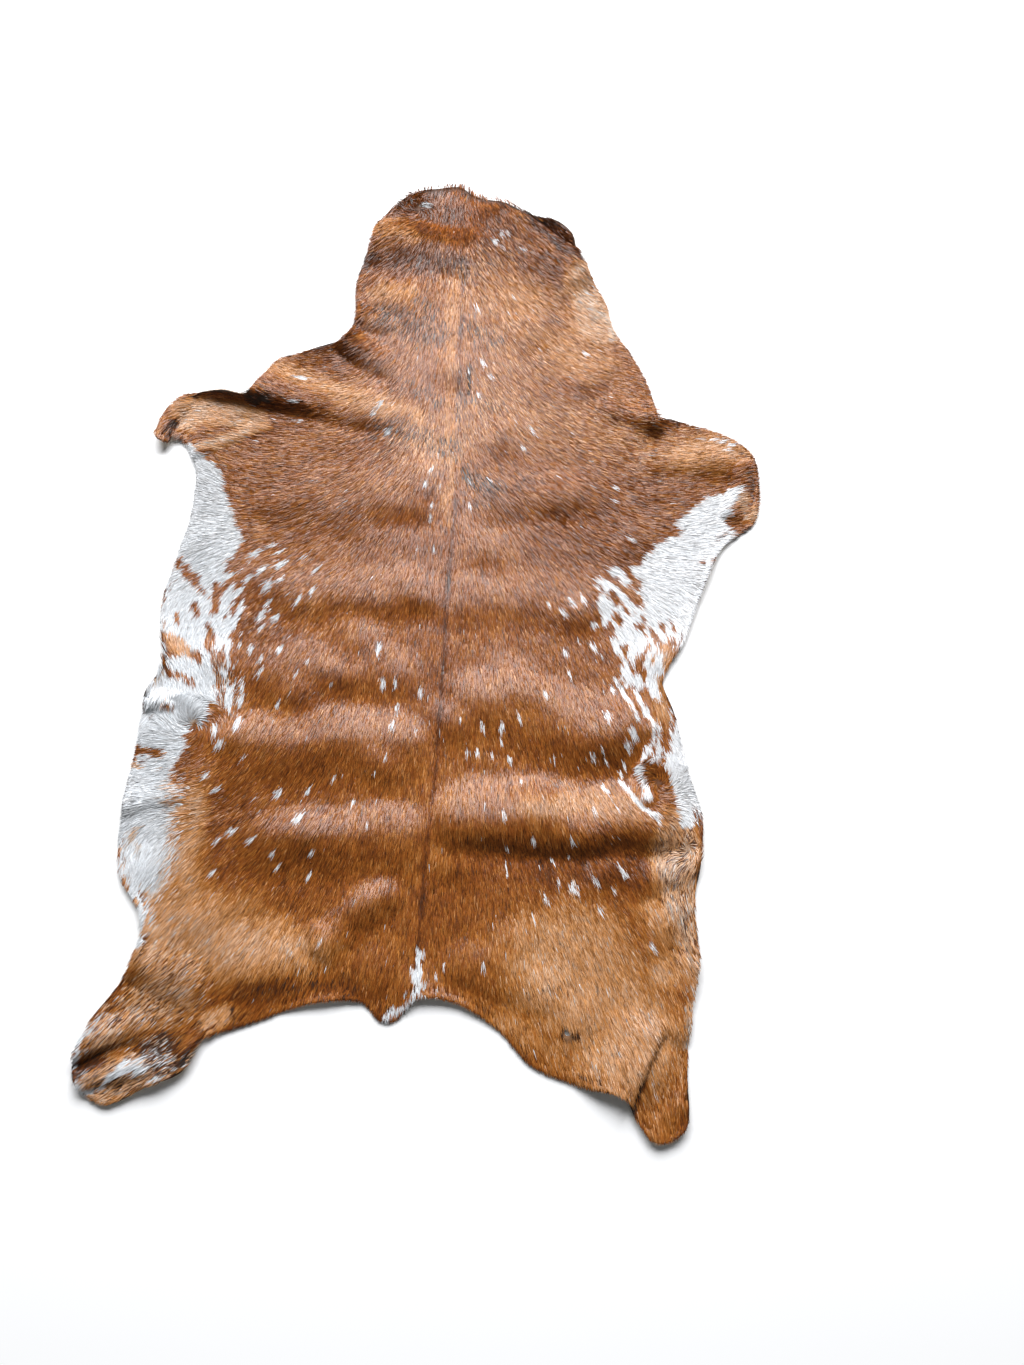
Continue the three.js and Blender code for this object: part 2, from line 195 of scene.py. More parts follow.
# The coat's markings, laid one over another in this order. Each row is a stroke from one point to
# the other: the line, its radius at both ends, how soft its border is, and how much of its hair is
# white, from 0, none, to 1, all.
MARK_COLUMNS = ("line", "radius", "soft", "white")
MARKS = {
    "left ribs, speckled": [
        ((-236, 96, -214, 16), (40, 28), 40, 0.45), ((-210, 0, -206, -40), (12, 14), 20, 0.4),
    ],
    "left elbow": [
        ((-264, 232, -240, 196), (6, 14), 4, 1), ((-244, 176, -226, 128), (26, 26), 4, 1),
        ((-262, 150, -266, 110), (14, 16), 5, 1),
    ],
    "left girth": [
        ((-246, 100, -250, 50), (30, 30), 10, 0.96), ((-262, 101, -246, 84), (5, 5), 5, 0.05),
        ((-250, 60, -244, 48), (4, 3), 4, 0.1), ((-224, 76, -228, 52), (5, 4), 5, 0.15),
        ((-244, 82, -240, 72), (3, 3), 4, 0.1), ((-266, 46, -262, 40), (4, 3), 4, 0.1),
        ((-233, 38, -229, 28), (4, 4), 4, 0.1), ((-274, 24, -254, 12), (11, 8), 6, 0.05),
    ],
    "left ribbons": [
        ((-284, 36, -256, 30), (4, 4), 3, 1), ((-256, 30, -236, 2), (4, 4), 3, 1),
        ((-236, 2, -231, -44), (5, 6), 3, 1), ((-209, 50, -212, -4), (3.5, 2.5), 3, 0.95),
    ],
    "left belly": [
        ((-262, -26, -268, -90), (30, 27), 6, 0.96), ((-284, -12, -248, -22), (3, 3), 4, 0.15),
        ((-272, -44, -266, -48), (3, 3), 3, 0.2), ((-288, -99, -266, -99), (5, 5), 4, 0.1),
        ((-296, -120, -272, -120), (4, 4), 5, 0.15), ((-243, -74, -240, -80), (3, 4), 4, 0.3),
        ((-280, -146, -276, -214), (32, 24), 34, 0.92),
    ],
    "left stifle": [((-279, -238, -274, -280), (4, 3), 3, 0.95)],
    "right ribs, speckled": [((178, 66, 206, -34), (24, 28), 26, 0.44)],
    "right elbow": [
        ((322, 184, 292, 168), (4, 6), 3, 1), ((290, 160, 256, 142), (15, 13), 4, 1),
        ((312, 154, 326, 196), (11, 9), 4, 0), ((276, 126, 236, 98), (24, 16), 4, 1),
        ((236, 94, 198, 92), (12, 5), 4, 1), ((242, 90, 236, 36), (38, 27), 5, 1),
    ],
    "right girth": [
        ((230, 30, 220, -14), (14, 12), 12, 0.52), ((176, 92, 188, 84), (5, 3), 3, 0.95),
        ((166, 66, 170, 42), (4, 5), 3, 0.9), ((186, 52, 206, 12), (4, 4), 3, 0.95),
        ((176, 20, 192, -18), (4, 5), 4, 0.8), ((228, 8, 216, -20), (5, 5), 4, 0.85),
    ],
    "right belly": [
        ((214, -66, 206, -138), (3, 3.5), 2.5, 0.95), ((184, -128, 212, -164), (2.5, 3.5), 2, 0.95),
        ((222, -66, 220, -108), (3, 3), 2.5, 0.9), ((242, -74, 242, -106), (11, 12), 5, 1),
        ((240, -116, 246, -156), (11, 14), 4, 1), ((226, -112, 228, -150), (4, 5), 5, 0.2),
    ],
    "tail": [
        ((-13, -286, -17, -330), (2.6, 4), 4, 0.66), ((-18, -326, -30, -340), (3.5, 4), 5, 0.6),
        ((-36, -340, -42, -350), (3, 3), 3, 0.7), ((-6, -336, 12, -338), (3, 3), 4, 0.6),
    ],
    "left hock": [
        ((-318, -412, -302, -413), (5, 4), 2, 0.95), ((-300, -412, -288, -400), (2.5, 3), 3, 0.75),
        ((-284, -398, -260, -392), (4, 5), 5, 0.66), ((-264, -404, -236, -400), (5, 4), 6, 0.36),
        ((-328, -392, -319, -358), (4, 3), 2, 0.95),
    ],
}

# Where white and brown mix hair by hair, as roan, and not in tufts.
ROAN = {"line": (-256, -134, -246, -224), "radius": (14, 18), "soft": 20}

# White flecks, a row for each tuft: x, y, how long and how wide the tuft is at its roots.
FLECK_COLUMNS = ("x", "y", "long", "wide")
FLECKS = {
    "neck": [
        (-25, 533, 8, 5), (53, 487, 6, 5), (61, 495, 6, 4), (67, 496, 6, 4), (61, 478, 6, 3),
        (83, 473, 5, 4), (-26, 461, 6, 3), (74, 418, 5, 3), (35, 405, 6, 4), (151, 346, 6, 4),
    ],
    "withers": [
        (42, 338, 8, 3), (49, 321, 7, 3), (27, 328, 6, 2), (38, 299, 6, 3), (94, 254, 7, 4),
        (85, 233, 7, 3), (-64, 283, 9, 4), (-68, 274, 7, 4), (-53, 254, 9, 5), (-150, 312, 14, 4),
        (-152, 284, 10, 4), (-148, 262, 7, 4), (156, 217, 4, 2),
    ],
    "right fore leg": [
        (296, 236, 12, 5), (306, 232, 10, 4), (286, 238, 9, 3), (300, 226, 7, 3), (272, 240, 6, 2),
    ],
    "shoulders": [
        (-9, 207, 7, 3), (-14, 194, 6, 3), (0, 190, 5, 2), (29, 196, 5, 2), (50, 196, 5, 2),
        (-8, 169, 7, 3), (-9, 156, 7, 3), (30, 169, 5, 2), (180, 186, 5, 4), (178, 171, 4, 3),
        (195, 127, 8, 4), (225, 118, 6, 2), (-6, 120, 5, 2), (-22, 120, 5, 2),
    ],
    "left ribs": [
        (-188, 111, 14, 5), (-169, 121, 8, 3), (-163, 113, 10, 3), (-138, 109, 9, 3),
        (-160, 99, 12, 7), (-178, 94, 12, 5), (-193, 84, 12, 5), (-172, 76, 13, 8), (-158, 83, 8, 4),
        (-126, 72, 9, 4), (-141, 62, 12, 4), (-123, 95, 8, 3), (-178, 45, 14, 7), (-172, 58, 9, 4),
        (-163, 42, 10, 7), (-178, 31, 10, 4), (-187, 10, 8, 4), (-199, 15, 9, 3), (-177, 0, 9, 3),
        (-158, 9, 10, 4), (-176, -13, 9, 4), (-128, -1, 7, 3), (-139, -15, 7, 3), (-194, -30, 9, 5),
    ],
    "left waist": [
        (-59, 10, 10, 5), (-54, -24, 8, 5), (-41, -26, 8, 4), (-16, -35, 9, 6), (-39, -54, 9, 4),
        (-43, -69, 8, 5), (-157, -48, 9, 4), (-196, -67, 11, 7), (-222, -73, 9, 6), (-211, -86, 12, 9),
        (-207, -50, 11, 4), (-186, -100, 6, 3), (-19, -74, 5, 2), (-105, -25, 5, 2),
    ],
    "left loin": [
        (-98, -123, 6, 3), (-152, -138, 9, 6), (-123, -136, 9, 4), (-80, -148, 7, 3),
        (-130, -164, 10, 7), (-193, -176, 8, 6), (-207, -185, 7, 4), (-173, -183, 6, 4),
        (-116, -194, 9, 3), (-152, -195, 6, 3), (-148, -209, 7, 3), (-119, -219, 8, 4),
        (-210, -215, 8, 3), (-211, -137, 10, 4), (-222, -122, 10, 5), (-58, -116, 5, 2),
        (-48, -101, 7, 2), (-64, -168, 6, 2),
    ],
    "right ribs": [
        (163, 82, 10, 7), (147, 62, 9, 4), (135, 58, 12, 4), (126, 49, 9, 5), (111, 58, 7, 3),
        (157, 35, 8, 6), (129, 6, 9, 5), (157, 12, 8, 4), (133, -17, 9, 3), (143, 16, 6, 2),
    ],
    "right waist": [
        (108, -39, 9, 4), (176, -34, 9, 4), (170, -62, 9, 8), (193, -77, 13, 7), (188, -90, 10, 6),
        (24, -63, 6, 2), (46, -71, 9, 5), (65, -71, 9, 4), (82, -62, 8, 3), (31, -97, 7, 4),
        (41, -97, 8, 4), (55, -99, 6, 2), (65, -87, 9, 2), (73, -104, 7, 3), (155, -102, 8, 4),
        (117, -103, 10, 2), (163, -93, 7, 2), (167, -105, 6, 2), (183, -122, 10, 3),
        (186, -111, 10, 3),
    ],
    "right loin": [
        (85, -126, 8, 2), (68, -157, 8, 4), (95, -180, 7, 4), (70, -189, 5, 3), (129, -199, 8, 2),
        (181, -216, 14, 5), (154, -222, 10, 4), (134, -230, 9, 7), (119, -224, 7, 3),
        (107, -241, 8, 4), (70, -215, 8, 2), (158, -251, 8, 3), (166, -136, 8, 4), (155, -156, 8, 3),
        (176, -152, 6, 2), (132, -182, 9, 2), (171, -232, 6, 3), (114, -205, 6, 2),
        (95, -258, 6, 2), (206, -284, 8, 4),
    ],
    "rump": [(4, -312, 5, 2), (49, -301, 6, 3), (-105, -279, 6, 2), (12, -300, 6, 2)],
}

# The colour of the brown hair, laid as strokes like the markings: from 0, palest tan, to 1, black.
SHADE_COLUMNS = ("line", "radius", "soft", "pigment")
SHADES = {
    "back": [((-110, 160, 120, 160), (60, 60), 90, 0.56)],
    "rump": [((-120, -240, 150, -230), (40, 46), 60, 0.55)],
    "right thigh": [
        ((130, -300, 180, -370), (60, 50), 60, 0.31), ((60, -352, 150, -405), (8, 10), 16, 0.4),
    ],
    # Painted shade: the second stroke darkens the slope behind the loin fold's crest.
    "right loin": [
        ((90, -146, 190, -146), (9, 14), 18, 0.38), ((30, -208, 200, -212), (8, 12), 30, 0.62),
    ],
    "right hock and stifle": [
        ((208, -440, 228, -392), (20, 10), 6, 0.48), ((242, -298, 220, -308), (10, 12), 18, 0.22),
        ((247, -306, 238, -370), (4, 4), 6, 0.16),
    ],
    "right flank and groin": [
        ((232, -186, 246, -284), (26, 18), 20, 0.21), ((253, -296, 244, -372), (2.5, 2.5), 3, 0.9),
        ((206, -246, 228, -296), (12, 12), 22, 0.35), ((262, -262, 258, -292), (7, 6), 8, 0.62),
    ],
    "right girth": [((226, 0, 226, -60), (14, 10), 18, 0.3)],
    "left thigh": [
        ((-110, -292, -260, -262), (18, 44), 50, 0.28), ((-240, -330, -290, -366), (26, 14), 40, 0.34),
        ((-206, -352, -180, -346), (9, 7), 8, 0.28),
    ],
    "left rump": [((-170, -318, -70, -322), (9, 9), 16, 0.58)],
    "left flank": [
        ((-226, -140, -236, -214), (10, 16), 26, 0.26), ((-284, -146, -276, -214), (34, 24), 20, 0.09),
        ((-304, -172, -246, -154), (3, 3), 6, 0.15),
    ],
    "left girth": [((-274, 24, -254, 12), (10, 8), 8, 0.3)],
    # Painted shade: the third stroke darkens the inside of the toe's curl.
    "left fore leg": [
        ((-255, 226, -182, 252), (4, 5), 5, 0.24), ((-266, 274, -196, 264), (19, 15), 12, 0.26),
        ((-284, 266, -287, 246), (3, 3), 4, 0.8), ((-298, 262, -300, 242), (3, 3), 3, 0.3),
    ],
    # Painted shade: the second and third strokes darken the hollow under the shoulder fold's crest.
    "left shoulder": [
        ((-190, 322, -20, 272), (12, 9), 14, 0.36), ((-176, 286, -140, 279), (6, 5), 12, 0.6),
        ((-200, 287, -176, 283), (4, 3), 5, 0.8),
    ],
    "right fore leg": [
        ((250, 220, 316, 226), (18, 14), 26, 0.37), ((302, 166, 326, 150), (9, 8), 6, 0.24),
        ((318, 190, 324, 176), (4, 4), 4, 0.6),
    ],
    "throat": [((142, 438, 166, 376), (18, 22), 16, 0.19), ((110, 414, 150, 442), (3, 6), 8, 0.3)],
    "right neck": [((90, 410, 150, 340), (28, 24), 40, 0.4), ((70, 380, 120, 392), (7, 8), 12, 0.58)],
    "neck": [
        ((-40, 534, 60, 522), (14, 12), 12, 0.63), ((-80, 504, -26, 498), (9, 6), 18, 0.4),
        ((-72, 424, -36, 424), (9, 8), 12, 0.4), ((-82, 468, 20, 456), (14, 16), 20, 0.64),
        ((24, 462, 112, 456), (10, 8), 22, 0.63), ((-16, 502, 70, 494), (10, 10), 20, 0.62),
    ],
    "neck rim": [
        ((70, 528, 116, 496), (2, 13), 2, 0.72), ((116, 496, 146, 462), (13, 8), 2, 0.72),
        ((120, 506, 138, 486), (3, 4), 6, 0.6),
    ],
    "nape": [((12, 440, 12, 150), (7, 6), 8, 0.44)],
    "left neck": [((-92, 368, -64, 340), (9, 7), 12, 0.6)],
    "left hind foot": [
        ((-312, -404, -236, -400), (17, 16), 10, 0.3), ((-328, -402, -298, -392), (10, 6), 6, 0.7),
        ((-306, -426, -240, -412), (9, 9), 5, 0.28), ((-312, -362, -292, -364), (6, 6), 8, 0.3),
    ],
    "tail": [((-48, -344, -42, -358), (8, 7), 6, 0.68)],
}

# Hair of another shade mixed in lock by lock, black, tan or pale: the same columns, and the share of
# locks that take the pigment.
MIXED_COLUMNS = ("line", "radius", "soft", "pigment", "share")
MIXED = {
    "neck": [
        ((-40, 464, 10, 450), (12, 14), 18, 0.88, 0.05), ((-58, 396, -8, 372), (14, 16), 18, 0.9, 0.36),
        ((26, 384, 56, 366), (9, 10), 16, 0.9, 0.3), ((-30, 420, -10, 400), (8, 8), 14, 0.9, 0.25),
        ((40, 440, 120, 350), (34, 30), 50, 0.38, 0.5),
    ],
    "withers": [
        ((-60, 262, 2, 236), (12, 14), 18, 0.88, 0.36), ((26, 204, 50, 192), (7, 8), 12, 0.94, 0.5),
        ((26, 300, 60, 286), (7, 8), 16, 0.9, 0.26), ((-36, 310, -6, 300), (8, 8), 16, 0.9, 0.22),
        ((-20, 230, 60, 300), (24, 40), 50, 0.36, 0.34),
    ],
    "back": [((44, 176, 60, 190), (5, 5), 8, 0.7, 0.7), ((78, 194, 92, 198), (4, 4), 8, 0.7, 0.7)],
    "left waist": [
        ((-222, -8, -200, -44), (10, 9), 20, 0.1, 0.34),
        ((-214, -10, -190, -40), (10, 9), 20, 0.88, 0.2),
    ],
    "left hind foot": [
        ((-244, -380, -226, -392), (18, 16), 8, 0.8, 0.88),
        ((-250, -380, -222, -398), (13, 12), 10, 0.06, 0.22),
        ((-322, -404, -240, -408), (18, 18), 14, 0.84, 0.36),
    ],
    "left belly": [((-262, -150, -246, -206), (18, 16), 22, 0.24, 0.3)],
    "left leg": [
        ((-236, -322, -300, -360), (28, 20), 40, 0.72, 0.26),
        ((-236, -322, -300, -360), (26, 16), 40, 0.18, 0.32),
    ],
    "left seat": [((-170, -320, -80, -318), (9, 9), 24, 0.8, 0.3)],
    "right flank": [((234, -190, 244, -280), (26, 18), 20, 0.7, 0.24)],
    "right thigh": [
        ((96, -322, 112, -318), (5, 5), 10, 0.88, 0.35),
        ((130, -300, 190, -380), (60, 54), 60, 0.28, 0.3),
    ],
    "right shoulder": [((110, 260, 240, 230), (30, 24), 40, 0.34, 0.4)],
}
COMMON_PIGMENT = 0.54  # the brown under all strokes

# Creases, slits and the grub hole's rim, painted as thin dark lines of shade where the hair parts: the
# line, and its radius at both ends.
CREASES = {
    "withers": ((27, 338, 28, 298), (2.2, 1.6)),
    "left flap, inner": ((-182, -340, -180, -358), (1.4, 1.0)),
    "left flap, outer": ((-212, -350, -206, -370), (1.4, 1.4)),
    "left hock": ((-330, -396, -300, -380), (2.0, 0.8)),
    "right thigh": ((207, -380, 185, -432), (0.8, 2.4)),
    "grub hole": ((124, -362, 134, -362), (4.5, 3.5)),
    "right fore toe": ((316, 196, 326, 168), (1.6, 1.2)),
}
CREASE_SHADOW_PIGMENT = 0.86
CREASE_SOFT = 2

# The back line, from the withers to the tail: a thin dark parting.
BACK_LINE_ENDS = (-310, 470)
BACK_LINE = [(20, 456), (17, 288), (17, 200), (9, 59), (5, -47), (-1, -129), (-8, -207), (-14, -300)]

# Where no hair grows: round the hole, and along an old slit beside the withers.
BALD = {"line": (128, -367, 124, -356), "radius": (6.5, 3), "soft": 0.5}
SCAR = {"line": (26, 326, 28, 296), "radius": (1.1, 1.1), "soft": 0.5}


def grouped(table):
    """The rows of a table's named groups, one after another."""
    return [row for rows in table.values() for row in rows]


def by_column(columns, rows):
    """Table rows as dictionaries, by the names of their columns."""
    return [dict(zip(columns, row)) for row in rows]


def smooth(share):
    """An S-shaped rise from 0 to 1."""
    share = np.clip(share, 0, 1)
    return share * share * (3 - 2 * share)


def noise(x, y, size, seed):
    """Random values on a square lattice of that size, from -1 to 1, blended smoothly between its points."""
    lattice = np.random.default_rng(seed).uniform(-1, 1, (256, 256))
    u, v = x / size, y / size
    i, j = np.floor(u).astype(int), np.floor(v).astype(int)
    s, t = smooth(u - i), smooth(v - j)
    i0, j0, i1, j1 = i % 256, j % 256, (i + 1) % 256, (j + 1) % 256
    near = lattice[i0, j0] * (1 - s) + lattice[i1, j0] * s
    far = lattice[i0, j1] * (1 - s) + lattice[i1, j1] * s
    return near * (1 - t) + far * t


def edge_line(step):
    """The cut edge as points an even step apart: a centripetal Catmull-Rom curve through its bends,
    each span a cubic whose end tangents weigh the neighbouring chords by the root of their length."""
    bends = np.array(grouped(EDGE), float)
    before, after, beyond = np.roll(bends, 1, 0), np.roll(bends, -1, 0), np.roll(bends, -2, 0)
    gap_in, gap, gap_out = (
        np.sqrt(np.linalg.norm(b - a, axis=1))[:, None]
        for a, b in ((before, bends), (bends, after), (after, beyond))
    )
    leave = (bends - before) / gap_in - (after - before) / (gap_in + gap) + (after - bends) / gap
    arrive = (after - bends) / gap - (beyond - bends) / (gap + gap_out) + (beyond - after) / gap_out
    t = np.linspace(0, 1, 24, endpoint=False)[None, :, None]
    p, q = bends[:, None], after[:, None]
    m, n = (leave * gap)[:, None], (arrive * gap)[:, None]
    curve = p + m * t + (3 * (q - p) - 2 * m - n) * t**2 + (2 * (p - q) + m + n) * t**3
    curve = np.vstack([curve.reshape(-1, 2), bends[:1]])
    run = np.concatenate([[0], np.cumsum(np.linalg.norm(np.diff(curve, axis=0), axis=1))])
    places = np.linspace(0, run[-1], round(run[-1] / step), endpoint=False)
    return np.stack([np.interp(places, run, curve[:, k]) for k in (0, 1)], axis=1)


EDGE_POINTS = edge_line(3)


def nearest_edge(x, y):
    """For each point, its distance inside the edge (negative outside), the nearest point of the edge,
    and that point's place round the edge from 0 to 1. The nearest point of each straight side is
    found, then the nearest side; a ray towards +X that meets an odd number of sides starts inside."""
    a = EDGE_POINTS
    b = np.roll(a, -1, 0)
    side = b - a
    found = []
    points = np.stack([x.ravel(), y.ravel()], 1)
    for part in np.array_split(points, math.ceil(len(points) / 6000)):
        offset = part[:, None] - a[None]
        share = np.clip((offset * side).sum(2) / (side**2).sum(1), 0, 1)
        gap = np.linalg.norm(offset - share[..., None] * side, axis=2)
        best = gap.argmin(1)
        row = np.arange(len(part))
        spans = (a[:, 1] > part[:, None, 1]) != (b[:, 1] > part[:, None, 1])
        rise = np.where(side[:, 1] == 0, 1, side[:, 1])
        crossing = a[:, 0] + (part[:, None, 1] - a[:, 1]) / rise * side[:, 0]
        within = (spans & (part[:, None, 0] < crossing)).sum(1) % 2 == 1
        near = a[best] + share[row, best, None] * side[best]
        depth = np.where(within, gap[row, best], -gap[row, best])
        found.append(np.column_stack([depth, near, (best + share[row, best]) / len(a)]))
    found = np.vstack(found)
    return tuple(found[:, k].reshape(x.shape) for k in range(4))


def fold_lift(fold, x, y):
    """How high one fold lifts each point, and the way to its back: a squared cosine across the crest,
    times an S-shaped rise and fall along it, over which it narrows too."""
    start, end = np.array(fold["crest"][:2], float), np.array(fold["crest"][2:], float)
    length = np.linalg.norm(end - start)
    way = (end - start) / length
    back = np.array([way[1], -way[0]])
    along = (x - start[0]) * way[0] + (y - start[1]) * way[1]
    share = np.clip(along / length, 0, 1)
    behind = (x - start[0]) * back[0] + (y - start[1]) * back[1] + fold["bow"] * 4 * share * (1 - share)
    fade_in, fade_out = fold["fade"]
    rise = smooth((along + fade_in) / fade_in) if fade_in else 1
    fall = smooth((length + fade_out - along) / fade_out) if fade_out else 1
    taper = rise * fall
    front_wide, back_wide = fold["wide"]
    reach = np.where(behind < 0, front_wide, back_wide) * (NARROWEST + (1 - NARROWEST) * taper)
    across = np.clip(behind / np.maximum(reach, 1e-6), -1, 1)
    high = fold["high"][0] * (1 - share) + fold["high"][1] * share
    return high * taper * np.cos(np.pi / 2 * across) ** 2, back


def drape(x, y, depth, round_edge):
    """The underside of the draped skin: each fold's lift, leant to its back in step with its height,
    on the swaying chequer of ripples and the edge's curl, a wave round the edge that dies out inwards.
    Inland the folds waver sideways and in height, as slack leather does."""
    turn = 2 * np.pi * CURL["waves"] * round_edge
    wave = CURL["lowest"] + (1 - CURL["lowest"]) * np.sin(turn + 1.7 * np.sin(turn / 3))
    inward = np.clip(1 - np.maximum(depth, 0) / CURL["reach"], 0, 1)
    across = 2 * np.pi * (x + RIPPLE["sway"] * np.sin(y / 90)) / RIPPLE["wide"]
    along = 2 * np.pi * (y + RIPPLE["sway"] * np.sin(x / 70)) / RIPPLE["long"]
    ripple = RIPPLE["height"] * np.maximum(0, -np.cos(across) * np.cos(along)) ** 2
    inland = smooth(depth / WAVER["inland"])
    place = np.stack([x, y, CURL["height"] * np.maximum(0, wave) * inward**2 + ripple], -1)
    fold_x = x + WAVER["sideways"] * noise(x, y, 60, 41) * inland
    fold_y = y + WAVER["sideways"] * noise(x, y, 48, 42) * inland
    for fold in by_column(FOLD_COLUMNS, FOLDS.values()):
        lift, back = fold_lift(fold, fold_x, fold_y)
        lift *= 1 + WAVER["high"] * noise(x, y, 52, 43) * inland
        hang = fold["lean"] * lift / max(fold["high"])
        place += np.stack([back[0] * hang, back[1] * hang, lift], -1)
    return place


class Lattice:
    """The flat skin as a square lattice, with what is known at each of its points, read in between by
    blending the four points round a place."""

    def __init__(self):
        low, high = EDGE_POINTS.min(0) - 4 * GRID, EDGE_POINTS.max(0) + 4 * GRID
        self.low = low
        self.x, self.y = np.meshgrid(*(np.arange(a, b, GRID) for a, b in zip(low, high)), indexing="ij")
        self.depth, self.edge_x, self.edge_y, round_edge = nearest_edge(self.x, self.y)
        self.place = drape(self.x, self.y, self.depth, round_edge)
        across, along = np.gradient(self.place, GRID, axis=(0, 1))
        self.across, self.along = across, along
        facing = np.cross(across, along)
        self.facing = facing / np.linalg.norm(facing, axis=-1, keepdims=True)

    def read(self, field, x, y):
        """A field's values at places on the skin, from the four points round each."""
        u, v = (x - self.low[0]) / GRID, (y - self.low[1]) / GRID
        i = np.clip(u.astype(int), 0, field.shape[0] - 2)
        j = np.clip(v.astype(int), 0, field.shape[1] - 2)
        extra = (1,) * (field.ndim - 2)
        s, t = (u - i).reshape(-1, *extra), (v - j).reshape(-1, *extra)
        near = field[i, j] * (1 - s) + field[i + 1, j] * s
        far = field[i, j + 1] * (1 - s) + field[i + 1, j + 1] * s
        return near * (1 - t) + far * t


def stroke_cover(stroke, x, y):
    """How fully a stroke covers each point: 1 inside a line that is thick by its radius at each end,
    falling to 0 over its soft border."""
    x0, y0, x1, y1 = stroke["line"]
    way = np.array([x1 - x0, y1 - y0], float)
    share = np.clip(((x - x0) * way[0] + (y - y0) * way[1]) / (way @ way), 0, 1)
    gap = np.hypot(x - x0 - share * way[0], y - y0 - share * way[1])
    thick = stroke["radius"][0] * (1 - share) + stroke["radius"][1] * share
    return smooth((thick + stroke["soft"] / 2 - gap) / stroke["soft"])


def hair_way(x, y):
    """The way the hair lies, as a unit vector: the comb's chart read between its stations, turned
    towards a spiral near each whorl, and swayed a little at 40 mm and in locks of 9 mm."""
    rows = sorted(COMB)
    chart = np.array([COMB[row] for row in rows], float)
    u = np.clip(np.interp(x, COMB_ACROSS, range(len(COMB_ACROSS))), 0, len(COMB_ACROSS) - 1.001)
    v = np.clip(np.interp(y, rows, range(len(rows))), 0, len(rows) - 1.001)
    i, j = v.astype(int), u.astype(int)
    s, t = smooth(v - i), smooth(u - j)
    near = chart[i, j] * (1 - t) + chart[i, j + 1] * t
    far = chart[i + 1, j] * (1 - t) + chart[i + 1, j + 1] * t
    lean = near * (1 - s) + far * s
    lean += 5 * noise(x, y, 40, 1) + 5 * noise(x, y, 9, 2)
    lean = np.radians(lean)
    way = np.stack([np.sin(lean), -np.cos(lean)], -1)
    for whorl in by_column(WHORL_COLUMNS, WHORLS.values()):
        out = np.stack([x - whorl["x"], y - whorl["y"]], -1)
        gap = np.linalg.norm(out, axis=-1, keepdims=True) + 1e-6
        spiral = 0.35 * out / gap + 0.94 * whorl["turn"] * np.stack([-out[:, 1], out[:, 0]], -1) / gap
        pull = np.exp(-((gap / whorl["reach"]) ** 2)) * 1.6
        way = way * (1 - np.minimum(pull, 1)) + spiral * pull
    return way / np.linalg.norm(way, axis=-1, keepdims=True)


def combed_noise(x, y, way, size, seed):
    """Noise drawn out along the hair: the mean of its values at five places along the way it lies."""
    places = [k * size for k in (-1.2, -0.6, 0, 0.6, 1.2)]
    total = sum(noise(x + way[:, 0] * step, y + way[:, 1] * step, size, seed) for step in places)
    return total / len(places) * 1.7


def whiteness(x, y, way, chance):
    """Which hairs are white: those whose share of white, wavered at its borders by noise, beats their
    tuft's bar, and those rooted in a fleck, an ellipse laid along the hair with a ragged end. In the
    roan patch the bar falls more by the hair than by the tuft, so that white and brown mix finely."""
    wave_x = x + 3.5 * noise(x, y, 9, 5) + 1.6 * noise(x, y, 3.5, 6)
    wave_y = y + 3.5 * noise(x, y, 9, 7) + 1.6 * noise(x, y, 3.5, 8)
    share = np.zeros_like(x)
    for mark in by_column(MARK_COLUMNS, grouped(MARKS)):
        cover = stroke_cover(mark, wave_x, wave_y)
        share = share * (1 - cover) + mark["white"] * cover
    roan = stroke_cover(ROAN, x, y)
    bar = 0.5 + 0.46 * (1 - 0.7 * roan) * combed_noise(x, y, way, 5, 9)
    bar += (0.14 + 0.8 * roan) * (chance - 0.5)
    white = share > np.clip(bar, 0.08, 0.93)
    for fleck in by_column(FLECK_COLUMNS, grouped(FLECKS)):
        near = np.hypot(x - fleck["x"], y - fleck["y"]) < fleck["long"]
        dx, dy = x[near] - fleck["x"], y[near] - fleck["y"]
        lengthwise = (dx * way[near, 0] + dy * way[near, 1]) / (fleck["long"] / 2)
        crosswise = (dx * way[near, 1] - dy * way[near, 0]) / (fleck["wide"] / 2)
        size = 0.45 + 1.1 * chance[near]
        white[near] |= np.hypot(lengthwise + 0.5, crosswise) < size
    return white


def back_line_gap(x, y):
    """How far each point is from the back line, read as straight runs between its points, and
    endlessly far past its ends."""
    rows = sorted(BACK_LINE, key=lambda row: row[1])
    middle = np.interp(y, [row[1] for row in rows], [row[0] for row in rows])
    low, high = BACK_LINE_ENDS
    return np.where((y < high) & (y > low), np.abs(x - middle), np.inf)


